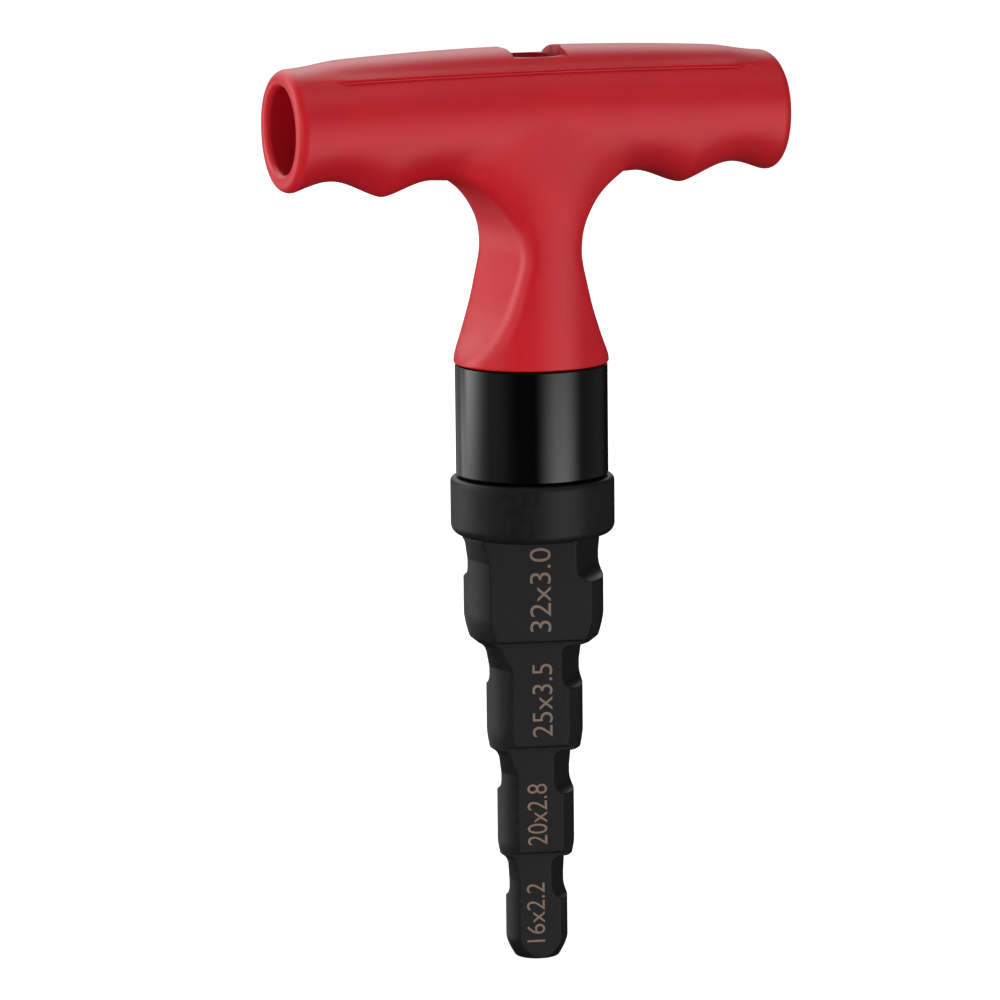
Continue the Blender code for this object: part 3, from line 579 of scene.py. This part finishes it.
def make_mandrel():
    """The turned bar less its slots, flats and pin hole. Flats of neighbouring steps overlap, so
    they are cut by turns."""
    piece = turned("mandrel_fine", mandrel_profile(), blackened_steel())
    angles = (MANDREL_CLOCKING, MANDREL_CLOCKING + math.pi)
    slots = [(slot_outline(step), angle + SLOT_ANGLE) for step in range(4) for angle in angles]
    even = [(flat_outline(step), angle) for step in (0, 2) for angle in angles]
    odd = [(flat_outline(step), angle) for step in (1, 3) for angle in angles]
    last = 360.0 - 360.0 / PIN_HOLE_SIDES
    hole = [(arc(0.0, PIN_HEIGHT, PIN_HOLE_RADIUS, 0.0, last, PIN_HOLE_SIDES - 1), MANDREL_CLOCKING)]
    cut_away(piece, [side_cutters("slots", slots), side_cutters("flats_even", even),
                     side_cutters("flats_odd", odd), side_cutters("pin_hole", hole)])
    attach(piece, "root")
    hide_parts("mandrel")


make_mandrel()

# Hexagon shank and roll pin
# A length of bright drawn hexagon bar carries the turn of the handle down to the mandrel. Its
# foot is turned round and pinned in the mandrel's hole by a slit tube of spring steel.
BAR_TONES = ((0.40, 0.40, 0.41), (0.50, 0.50, 0.51))
BAR_ROUGHNESS = (0.22, 0.36)


def drawn_steel():
    """Bright bar with fine scratches along its length."""
    made, nodes, links = node_tree("drawn_steel")
    place = nodes.new("ShaderNodeTexCoord").outputs["Object"]
    shader = principled(nodes, links, 0.28, 1.0)
    along_the_bar = stretched(nodes, links, place, (1.0, 1.0, 0.05))
    lines = noise(nodes, links, along_the_bar, scale=6000.0, detail=2.0)
    links.new(two_tones(nodes, links, lines, *BAR_TONES), shader["Base Color"])
    links.new(ranged(nodes, links, lines, 0.3, 0.7, *BAR_ROUGHNESS), shader["Roughness"])
    links.new(bumped(nodes, links, lines, 0.1, 0.01 * MM), shader["Normal"])
    return made


def finish_node(name, finish):
    """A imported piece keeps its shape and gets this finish."""
    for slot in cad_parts[name].material_slots:
        slot.material = finish


DRAWN_STEEL = drawn_steel()
finish_node("hex_shank", DRAWN_STEEL)
finish_node("roll_pin", DRAWN_STEEL)

# Spacer sleeve
# A length of steel tube with eased rims and gloss black enamel, slid over the spigot and clamped
# between the flange and the handle.
SLEEVE_PLAY = 0.3 * MM
SLEEVE_RIM = 0.5 * MM
SLEEVE_TOP_RIM = 0.2 * MM
ENAMEL_COLOUR = (0.0012, 0.0012, 0.0014, 1.0)
ENAMEL_ROUGHNESS = (0.08, 0.13)


def black_enamel():
    """Gloss enamel with a faint waviness and a little dust in its gloss."""
    made, nodes, links = node_tree("black_enamel")
    place = nodes.new("ShaderNodeTexCoord").outputs["Object"]
    shader = principled(nodes, links, 0.1)
    shader["Base Color"].default_value = ENAMEL_COLOUR
    dust = noise(nodes, links, place, scale=500.0, detail=3.0)
    links.new(ranged(nodes, links, dust, 0.3, 0.7, *ENAMEL_ROUGHNESS), shader["Roughness"])
    waves = noise(nodes, links, place, scale=90.0, detail=1.0)
    links.new(bumped(nodes, links, waves, 0.06, 0.05 * MM), shader["Normal"])
    return made


def make_sleeve():
    """The tube's section turned about the axis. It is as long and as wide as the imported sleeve."""
    low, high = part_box("spacer_sleeve")
    radius, bore, rim, top = high.x, SPIGOT_RADIUS + SLEEVE_PLAY, SLEEVE_RIM, SLEEVE_TOP_RIM
    profile = [(bore, low.z), (radius - rim, low.z)]
    profile += arc(radius - rim, low.z + rim, rim, -90.0, 0.0, 8)[1:]
    profile += arc(radius - top, high.z - top, top, 0.0, 90.0, 6)
    profile += [(bore, high.z)]
    piece = turned("sleeve_fine", profile, black_enamel())
    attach(piece, "root")
    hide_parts("spacer_sleeve")


make_sleeve()

# Drive bush
# A hexagon tube with a collar at its foot, made of bright steel and moulded into the neck. The
# shank's hexagon slides up into it.
finish_node("drive_bush", DRAWN_STEEL)

# Handle
# One moulding in red glass-filled nylon with a satin grain. The skin is where two rounded forms
# run together: the crossbar, whose section changes along X, and the neck, along Z.
QUARTER_TURN = math.pi / 2.0
HANDLE_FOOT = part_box("t_handle")[0].z
BAR_HALF_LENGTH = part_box("t_handle")[1].x
BAR_AXIS = HANDLE_FOOT + 44.5 * MM
BAR_DEPTH_END = 11.4 * MM
BAR_DEPTH_MIDDLE = 12.0 * MM
BAR_CROWN_END = 10.85 * MM
BAR_CROWN_MIDDLE = 12.85 * MM
BAR_UNDERSIDE = 12.7 * MM
BAR_UNDERSIDE_TAPER = 0.055
BAR_SQUARENESS = 2.1
BAR_LIP = 1.9 * MM
BORE_RADIUS = 7.8 * MM
BORE_LIP = 1.25 * MM
CREST = 29.4 * MM
OUTER_GROOVE = 9.6 * MM
INNER_GROOVE = 9.9 * MM
OUTER_GROOVE_DEPTH = 2.75 * MM
INNER_GROOVE_DEPTH = 3.1 * MM
GROOVE_SHARPNESS = 1.35
RIDGE_HEIGHT = 9.4 * MM
RIDGE_ARCH = 0.8 * MM
RIDGE_STEP = 0.6 * MM
RIDGE_WIDTH = 0.7 * MM
RIDGE_SHARE = 0.7
RIDGE_RISE = 3.0 * MM
BEAD = 0.5 * MM
BEAD_HEIGHT = 0.9 * MM
RIDGE_HALF_LENGTH = 45.0 * MM
RIDGE_FADE = 9.0 * MM
CROWN_TOP = BAR_AXIS + BAR_CROWN_MIDDLE
CROWN_HOLE_RADIUS = 5.9 * MM
NOTCH_HALF = 5.3 * MM
NOTCH_DEPTH = 1.1 * MM
# the neck's sections: height above the foot, half width and half depth of the column, and half
# width between the scooped sides, mm
NECK = ((0.0, 14.3, 14.3, 17.0), (3.6, 14.25, 14.2, 13.0), (8.5, 14.2, 14.05, 9.9),
        (15.0, 14.1, 13.85, 7.5), (21.6, 14.1, 13.6, 6.2), (27.1, 14.5, 13.3, 7.75),
        (31.8, 16.5, 13.0, 11.6), (36.5, 22.0, 12.6, 18.8), (44.5, 30.0, 12.0, 24.4))
NECK_LIP = 0.4 * MM
NECK_EDGE = 3.0 * MM
NECK_HOLLOW = 0.6 * MM
NECK_HOLLOW_FADE = (24.0 * MM, 33.0 * MM)
JOIN_RADIUS = 1.4 * MM
JOIN_FADE = 7.0 * MM
JOIN_LOSS = 0.9
ARM_CORNER = 12.1 * MM
SCREW_SEAT = HANDLE_FOOT + 27.0 * MM
COLLAR_RADIUS = 10.3 * MM
COLLAR_TOP = HANDLE_FOOT + 2.6 * MM
BUSH_TOP = HANDLE_FOOT + 13.6 * MM
BUSH_FLATS = 12.6 * MM
SCREW_HOLE_RADIUS = 2.8 * MM
WASHER_WELL_RADIUS = 5.6 * MM
CUT_BEYOND = 1.0 * MM
BORE_SIDES = 160
WELL_SIDES = 128
ARM_COLUMNS = 96
LIP_COLUMNS = 12
BODY_COLUMNS = 48
SIDE_ROWS = 40
LEDGE_ROWS = 4
CROWN_ROWS = 22
NECK_ROWS = 60
NECK_LIP_ROWS = 8
HALVINGS = 34
NEAR_ZERO = 0.002 * MM
NYLON_TONES = ((0.41, 0.0032, 0.0095), (0.46, 0.0048, 0.0115))
NYLON_ROUGHNESS = (0.36, 0.44)


def along_stations(stations, column, where):
    """A smooth curve through one column of a table of stations: cubic pieces between stations,
    whose slope at a station is that of the table there."""
    place = np.array([row[0] for row in stations]) * MM
    value = np.array([row[column] for row in stations]) * MM
    slope = np.gradient(value, place)
    k = np.clip(np.searchsorted(place, where) - 1, 0, len(place) - 2)
    span = place[k + 1] - place[k]
    t = np.clip((where - place[k]) / span, 0.0, 1.0)
    return ((2 * t ** 3 - 3 * t ** 2 + 1) * value[k] + (t ** 3 - 2 * t ** 2 + t) * span * slope[k]
            + (3 * t ** 2 - 2 * t ** 3) * value[k + 1] + (t ** 3 - t ** 2) * span * slope[k + 1])


def lip_loss(distance, radius):
    """What a rounded rim takes off the size, at this distance from the end face: its radius less
    the height of its quarter circle there."""
    inward = np.clip(radius - distance, 0.0, radius)
    return radius - np.sqrt(radius ** 2 - inward ** 2)


def underside(x):
    """Crossbar's axis to its underside: a line that tapers outwards, less two finger grooves on
    each arm, each as deep as a power of a cosine. Inwards of its middle the inner groove stays
    at its full depth."""
    out = np.abs(x)
    depth = BAR_UNDERSIDE - BAR_UNDERSIDE_TAPER * (out - CREST)
    for centre, half, deep in ((CREST + OUTER_GROOVE, OUTER_GROOVE, OUTER_GROOVE_DEPTH),
                               (CREST - INNER_GROOVE, INNER_GROOVE, INNER_GROOVE_DEPTH)):
        share = np.clip((out - centre) / half, -1.0, 1.0)
        if centre < CREST:
            share = np.maximum(share, 0.0)
        depth = depth - deep * np.cos(share * QUARTER_TURN) ** GROOVE_SHARPNESS
    return depth


def ridge_line(x):
    """Height of the ledge under the crown, which falls away with the square of x."""
    return BAR_AXIS + RIDGE_HEIGHT - RIDGE_ARCH * (x / BAR_HALF_LENGTH) ** 2


def crossbar_field(x, y, z):
    """The crossbar. Round its section, |y / depth| and |up / height|, each to the power of the
    squareness, add up to 1. Depth and crown change with the square of x. Above the ledge the
    skin stands proud by a step, by a swell that grows with height and by a bead, which is a bell
    curve about the ledge's line."""
    share = (x / BAR_HALF_LENGTH) ** 2
    depth = BAR_DEPTH_MIDDLE + (BAR_DEPTH_END - BAR_DEPTH_MIDDLE) * share
    crown = BAR_CROWN_MIDDLE + (BAR_CROWN_END - BAR_CROWN_MIDDLE) * share
    loss = lip_loss(BAR_HALF_LENGTH - np.abs(x), BAR_LIP)
    up = z - BAR_AXIS
    height = np.where(up > 0.0, crown, underside(x)) - loss
    across = depth - loss
    reach = np.abs(y / across) ** BAR_SQUARENESS + np.abs(up / height) ** BAR_SQUARENESS
    proud = RIDGE_STEP * (1.0 - eased(RIDGE_HALF_LENGTH - RIDGE_FADE, RIDGE_HALF_LENGTH,
                                      np.abs(x)))
    over = z - ridge_line(x)
    above = eased(-RIDGE_WIDTH / 2.0, RIDGE_WIDTH / 2.0, over)
    swell = eased(0.0, RIDGE_RISE, over)
    bead = BEAD / RIDGE_STEP * np.exp(-(over / BEAD_HEIGHT) ** 2)
    lift = proud * ((RIDGE_SHARE + bead) * above + (1.0 - RIDGE_SHARE) * swell)
    return (reach ** (1.0 / BAR_SQUARENESS) - 1.0) * across - lift


def blended(first, second, radius):
    """The lesser of two fields. Where they differ by less than the radius, a parabola's height is
    taken off, and that rounds the corner between them."""
    mix = np.clip(0.5 + 0.5 * (second - first) / radius, 0.0, 1.0)
    return second + (first - second) * mix - radius * mix * (1.0 - mix)


def neck_field(x, y, z):
    """The neck: an oval column, wider above, out of which both sides are scooped down to a half
    width that changes with height. Each scoop has a slight hollow, which fades towards its two
    edges and towards the crossbar, and the edges are rounded."""
    up = z - HANDLE_FOOT
    loss = lip_loss(up, NECK_LIP)
    width = along_stations(NECK, 1, up) - loss
    depth = along_stations(NECK, 2, up) - loss
    column = (np.sqrt((x / width) ** 2 + (y / depth) ** 2) - 1.0) * np.minimum(width, depth)
    hollow = NECK_HOLLOW * np.clip(1.0 - (y / depth) ** 2, 0.0, 1.0)
    hollow = hollow * (1.0 - eased(*NECK_HOLLOW_FADE, up))
    scoop = np.abs(x) - along_stations(NECK, 3, up) + hollow
    return np.maximum(-blended(-column, -scoop, NECK_EDGE), up - (BAR_AXIS - HANDLE_FOOT))


def handle_field(x, y, z):
    """Both forms together, below zero inside the handle. Their fillet fades towards the
    crossbar's axis."""
    radius = JOIN_RADIUS * (1.0 - JOIN_LOSS * eased(-JOIN_FADE, 0.0, z - BAR_AXIS))
    return blended(crossbar_field(x, y, z), neck_field(x, y, z), radius)


def skin(inside, outside):
    """Share of the way from inside points to outside points at which the skin lies, by halving."""
    low = np.zeros(np.broadcast(*inside, *outside).shape)
    high = np.ones_like(low)
    for _ in range(HALVINGS):
        middle = (low + high) / 2.0
        within = handle_field(*[a + (b - a) * middle for a, b in zip(inside, outside)]) < 0.0
        low = np.where(within, middle, low)
        high = np.where(within, high, middle)
    return (low + high) / 2.0


def rows_between(bottom, top, x):
    """Heights of the rows up the front: close together where the skin turns over and across the
    ledge."""
    ledge = ridge_line(x)
    low, high = ledge - RIDGE_WIDTH / 2.0, ledge + RIDGE_WIDTH / 2.0
    side = 1.0 - np.cos(np.linspace(0.0, QUARTER_TURN, SIDE_ROWS + 1))
    crown = np.sin(np.linspace(0.0, QUARTER_TURN, CROWN_ROWS + 1))
    step = np.linspace(0.0, 1.0, LEDGE_ROWS + 1)[1:-1]
    return np.concatenate([bottom + (low - bottom) * side, low + (high - low) * step,
                           high + (top - high) * crown])


def front_patch(x, z):
    """Points of one patch of the front skin over a grid of x and z: y is found on the field."""
    reach = 2.0 * BAR_DEPTH_MIDDLE
    y = -skin((x, 0.0 * x, z), (x, 0.0 * x + reach, z)) * reach
    return np.stack([x, y, z], axis=-1)


def end_of_column(x, direction):
    """Height at which the crossbar's middle plane leaves the handle, up or down."""
    reach = direction * 2.0 * BAR_CROWN_MIDDLE
    axis = 0.0 * x + BAR_AXIS
    return BAR_AXIS + reach * skin((x, 0.0 * x, axis), (x, 0.0 * x, axis + reach))


def neck_patch(quarter, heights, top_row):
    """Points of the neck on level rays from its axis. The rays' angles are even at the foot and
    turn to those of the top row, which is the lowest row of the body above."""
    share = ((heights - heights[0]) / (heights[-1] - heights[0])) ** 2
    above = np.arctan2(top_row[:, 0], -top_row[:, 1])
    angle = quarter[:, None] * (1.0 - share) + above[:, None] * share
    reach = 2.0 * BAR_CROWN_MIDDLE
    x, y, z = reach * np.sin(angle), -reach * np.cos(angle), heights + 0.0 * angle
    found = skin((0.0 * x, 0.0 * y, z), (x, y, z))
    neck = np.stack([found * x, found * y, z], axis=-1)
    neck[:, -1] = top_row
    return neck


def handle_patches():
    """A quarter of the skin, front and +X, as three grids: arm, body above the neck, and neck."""
    quarter = np.linspace(0.0, QUARTER_TURN, BODY_COLUMNS + 1)
    lip = np.linspace(0.0, QUARTER_TURN, LIP_COLUMNS + 1)[1:]
    arm_x = np.concatenate([np.linspace(ARM_CORNER, BAR_HALF_LENGTH - BAR_LIP, ARM_COLUMNS + 1),
                            BAR_HALF_LENGTH - BAR_LIP * (1.0 - np.sin(lip))])
    arm_z = np.array([rows_between(low, high, x) for x, low, high in
                      zip(arm_x, end_of_column(arm_x, -1.0), end_of_column(arm_x, 1.0))])
    arm = front_patch(arm_x[:, None] + 0.0 * arm_z, arm_z)
    corner = arm_z[0, 0]
    body_x = ARM_CORNER * np.sin(quarter)
    body_z = np.array([rows_between(corner, high, x) for x, high in
                       zip(body_x, end_of_column(body_x, 1.0))])
    body = front_patch(body_x[:, None] + 0.0 * body_z, body_z)
    foot = NECK_LIP * (1.0 - np.cos(np.linspace(0.0, QUARTER_TURN, NECK_LIP_ROWS + 1)))
    neck_z = np.concatenate([HANDLE_FOOT + foot,
                             np.linspace(HANDLE_FOOT + NECK_LIP, corner, NECK_ROWS + 1)[1:]])
    # The front meets the back at y = 0.
    arm[:, (0, -1), 1] = 0.0
    body[:, -1, 1] = 0.0
    body[-1, 0, 1] = 0.0
    neck = neck_patch(quarter, neck_z, body[:, 0])
    return arm, body, neck


def handle_skin():
    """The quarter and its three mirror images, with the middle planes at exactly zero."""
    points, faces, count = [], [], 0
    for patch in handle_patches():
        patch = np.where(np.abs(patch) < NEAR_ZERO, 0.0, patch)
        quads = grid_faces(*patch.shape[:2])[:, ::-1]
        for mirror in ((1, 1, 1), (-1, 1, 1), (-1, -1, 1), (1, -1, 1)):
            turned_over = mirror[0] * mirror[1] < 0
            points.append((patch * mirror).reshape(-1, 3))
            faces.append(count + (quads[:, ::-1] if turned_over else quads))
            count += patch.shape[0] * patch.shape[1]
    return np.concatenate(points), np.concatenate(faces)


def hexagon(across_flats):
    """The corners of a hexagon, with flats facing +X and -X."""
    return arc(0.0, 0.0, across_flats / math.sqrt(3.0), 30.0, 330.0, 5)


def bore_cutter():
    """The crossbar's bore with its rounded mouths, turned about Z and laid along X."""
    beyond = BAR_HALF_LENGTH + CUT_BEYOND
    mouth = arc(BORE_RADIUS + BORE_LIP, BAR_HALF_LENGTH - BORE_LIP, BORE_LIP, 180.0, 90.0, 10)
    half = [(BORE_RADIUS + 2.0 * BORE_LIP, beyond)] + mouth[::-1]
    profile = [(0.0, beyond)] + half + [(r, -h) for r, h in half[::-1]] + [(0.0, -beyond)]
    cutter = turned("bore_cutter", profile[::-1], sides=BORE_SIDES)
    cutter.data.transform(Matrix.Translation((0.0, 0.0, BAR_AXIS))
                          @ Matrix.Rotation(math.radians(90.0), 4, "Y"))
    return cutter


def axis_cutter():
    """All that is sunk along the tool's axis: collar's recess, screw's hole, washers' well, and
    the hole in the crown."""
    below, above = HANDLE_FOOT - CUT_BEYOND, CROWN_TOP + CUT_BEYOND
    return turned("axis_cutter", [
        (0.0, below), (COLLAR_RADIUS, below), (COLLAR_RADIUS, COLLAR_TOP),
        (SCREW_HOLE_RADIUS, COLLAR_TOP), (SCREW_HOLE_RADIUS, SCREW_SEAT),
        (WASHER_WELL_RADIUS, SCREW_SEAT), (WASHER_WELL_RADIUS, BAR_AXIS),
        (CROWN_HOLE_RADIUS, BAR_AXIS), (CROWN_HOLE_RADIUS, above), (0.0, above)], sides=WELL_SIDES)


def notch_cutter():
    """A box for the shallow channel across the crown, through the hole, with a level floor."""
    wide, deep = NOTCH_HALF, BAR_DEPTH_MIDDLE
    corners = [(x, y, z) for z in (CROWN_TOP - NOTCH_DEPTH, CROWN_TOP + 2.0 * NOTCH_DEPTH)
               for x, y in ((-wide, -deep), (wide, -deep), (wide, deep), (-wide, deep))]
    return object_of("notch_cutter", np.array(corners), grid_faces(2, 4, closed=True))


def pocket_cutter():
    """The bush's hexagon pocket, above its collar's recess."""
    outline = np.array(hexagon(BUSH_FLATS))
    points = np.stack([np.concatenate([outline, np.full((6, 1), height)], axis=1)
                       for height in (COLLAR_TOP - CUT_BEYOND, BUSH_TOP)])
    return object_of("pocket_cutter", points, grid_faces(2, 6, closed=True))


def red_nylon():
    """Glass-filled nylon: through-coloured red with a fine moulded grain, a little flow in its
    tone, and a satin gloss."""
    made, nodes, links = node_tree("red_nylon")
    place = nodes.new("ShaderNodeTexCoord").outputs["Object"]
    shader = principled(nodes, links, 0.42)
    flow = noise(nodes, links, place, scale=90.0, detail=3.0, roughness=0.55)
    grain = noise(nodes, links, place, scale=2600.0, detail=3.0, roughness=0.6)
    tone = ranged(nodes, links, flow, 0.3, 0.7, 0.0, 1.0)
    links.new(two_tones(nodes, links, tone, *NYLON_TONES), shader["Base Color"])
    links.new(ranged(nodes, links, grain, 0.3, 0.7, *NYLON_ROUGHNESS), shader["Roughness"])
    links.new(bumped(nodes, links, grain, 0.16, 0.03 * MM), shader["Normal"])
    return made


def make_handle():
    """The skin less the crossbar's bore, all that is sunk along the axis, and the channel."""
    piece = object_of("handle_fine", *handle_skin(), red_nylon())
    cut_away(piece, [bore_cutter(), axis_cutter(), pocket_cutter(), notch_cutter()])
    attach(piece, "root")
    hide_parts("t_handle")


make_handle()

# Cap screw and washers
# Steel with bright zinc plate. They go in through the crown and stand on the floor of the well,
# and the screw draws shank and mandrel up against sleeve and handle.
ZINC_TONES = ((0.50, 0.51, 0.54), (0.60, 0.61, 0.62))
ZINC_ROUGHNESS = (0.2, 0.34)


def zinc_plate():
    """Bright zinc with a fine cloudiness."""
    made, nodes, links = node_tree("zinc_plate")
    place = nodes.new("ShaderNodeTexCoord").outputs["Object"]
    shader = principled(nodes, links, 0.26, 1.0)
    cloud = noise(nodes, links, place, scale=1500.0, detail=3.0)
    links.new(two_tones(nodes, links, cloud, *ZINC_TONES), shader["Base Color"])
    links.new(ranged(nodes, links, cloud, 0.3, 0.7, *ZINC_ROUGHNESS), shader["Roughness"])
    return made


ZINC_PLATE = zinc_plate()
for fastener in ("cap_screw", "lock_washer", "flat_washer"):
    finish_node(fastener, ZINC_PLATE)

# Size figures
# Outer size and wall of the pipe that each step fits, burnt into the black of its front flat by
# a marking laser. They read from the tip up.
FIGURE_PROUD = 0.015 * MM
FIGURE_THICKNESS = 0.01
FIGURE_OFFSET = -0.006
FIGURE_CURVE_STEPS = 6
MARK_TONES = ((0.125, 0.085, 0.062), (0.2, 0.137, 0.102))
# height of the figures' middle, their length, their height, and their shift across the flat, mm
FIGURES = ((8.95, 11.3, 3.4, -0.81), (28.0, 11.6, 3.7, -0.58), (49.86, 13.75, 3.75, 0.35),
           (70.9, 15.65, 3.9, -0.08))


def burnt_mark():
    """Brown of bared and tinted steel, uneven where the laser's lines overlap."""
    made, nodes, links = node_tree("laser_mark")
    place = nodes.new("ShaderNodeTexCoord").outputs["Object"]
    shader = principled(nodes, links, 0.6)
    speckle = noise(nodes, links, place, scale=4000.0, detail=3.0, roughness=0.6)
    tone = ranged(nodes, links, speckle, 0.3, 0.7, 0.0, 1.0)
    links.new(two_tones(nodes, links, tone, *MARK_TONES), shader["Base Color"])
    return made


def figure_mesh(words):
    """Letters that read along X, set about the origin and one unit long, high and thick: each
    point less the middle, over the size. The offset thins their strokes."""
    curve = bpy.data.curves.new("figures", "FONT")
    curve.body = words
    curve.extrude = FIGURE_THICKNESS
    curve.resolution_u = FIGURE_CURVE_STEPS
    curve.offset = FIGURE_OFFSET
    source = linked("figures", curve)
    bpy.context.view_layer.update()
    seen = source.evaluated_get(bpy.context.evaluated_depsgraph_get())
    mesh = bpy.data.meshes.new_from_object(seen)
    bpy.data.objects.remove(source, do_unlink=True)
    points = np.zeros(3 * len(mesh.vertices))
    mesh.vertices.foreach_get("co", points)
    points = points.reshape(-1, 3)
    low, high = points.min(axis=0), points.max(axis=0)
    mesh.vertices.foreach_set("co", ((points - (low + high) / 2.0) / (high - low)).ravel())
    return mesh


def make_figures():
    """Each step's figures on its front flat: their length runs up the tool, their height across
    the flat, and half of their thickness stands out of it."""
    finish = burnt_mark()
    out = towards(MANDREL_CLOCKING, 0.0)
    side = Vector((math.cos(MANDREL_CLOCKING), math.sin(MANDREL_CLOCKING), 0.0))
    for step, (middle, length, tall, aside) in enumerate(FIGURES):
        outer, wall = PIPES[step]
        mesh = figure_mesh("%dx%.1f" % (outer, wall))
        mesh.materials.clear()
        mesh.materials.append(finish)
        place = out * FLATS[step] + side * aside * MM + Vector((0.0, 0.0, middle * MM))
        along, up = Vector((0.0, 0.0, length * MM)), side * (-tall * MM)
        turn = Matrix((along, up, out * 2.0 * FIGURE_PROUD)).transposed().to_4x4()
        mesh.transform(Matrix.Translation(place) @ turn)
        piece = linked("figures_%d" % outer, mesh)
        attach(piece, "root")


make_figures()
